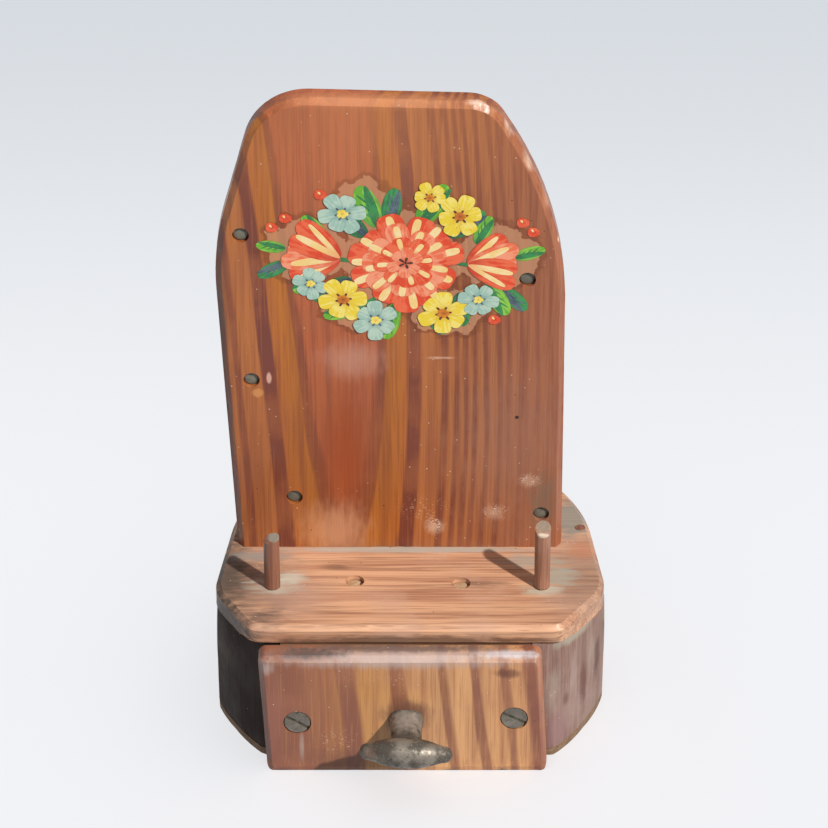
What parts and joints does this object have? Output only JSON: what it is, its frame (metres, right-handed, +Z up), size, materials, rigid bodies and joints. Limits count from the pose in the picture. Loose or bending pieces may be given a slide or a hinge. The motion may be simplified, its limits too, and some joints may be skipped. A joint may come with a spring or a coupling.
{
  "type": "candle box",
  "caption": "Small wooden box with one front drawer and a T-shaped pull, a rounded base, a shelf with upright pegs and a tall arched backboard.",
  "frame": {"origin": "middle of the base in plan, on the surface that the box stands on", "axes": "+Z up, +X to the right as seen from the front, and the drawer opens along -Y"},
  "size_m": [0.1494, 0.1593, 0.2586],
  "materials": {
    "case_wood": "old varnish, weathered",
    "shelf_wood": "worn varnish",
    "board_wood": "satin varnish over reddish pine",
    "drawer_front_wood": "satin varnish over banded pine",
    "drawer_wood": "bare pine",
    "dowel_wood": "bare wood, sawn ends",
    "pull_metal": "dark patina with scuffs",
    "screw_steel": "dull and oxidised",
    "nail_iron": "rusty"
  },
  "bodies": {
    "case": {"bottom_board": "case_wood", "bottom_nails": "nail_iron", "left_cheek": "case_wood", "right_cheek": "case_wood", "rear_block": "case_wood", "front_rail": "case_wood", "top_shelf": "shelf_wood", "left_peg": "dowel_wood", "right_peg": "dowel_wood", "shelf_pin": "dowel_wood", "shelf_screws": "screw_steel", "backboard": "board_wood", "backboard_nails": "screw_steel", "left_batten": "board_wood", "right_batten": "board_wood", "foot_nails": "nail_iron"},
    "drawer": {"drawer_front": "drawer_front_wood", "drawer_left_side": "drawer_wood", "drawer_right_side": "drawer_wood", "drawer_back": "drawer_wood", "drawer_bottom": "drawer_wood", "drawer_bottom_nails": "nail_iron", "drawer_corner_nails": "nail_iron", "drawer_front_screws": "screw_steel", "drawer_pull": "pull_metal", "pull_screw": "screw_steel"}
  },
  "joints": [
    {"name": "drawer_slide", "type": "slide", "parent": "case", "child": "drawer", "axis": [0, -1, 0], "range_m": [0, 0.075]}
  ]
}
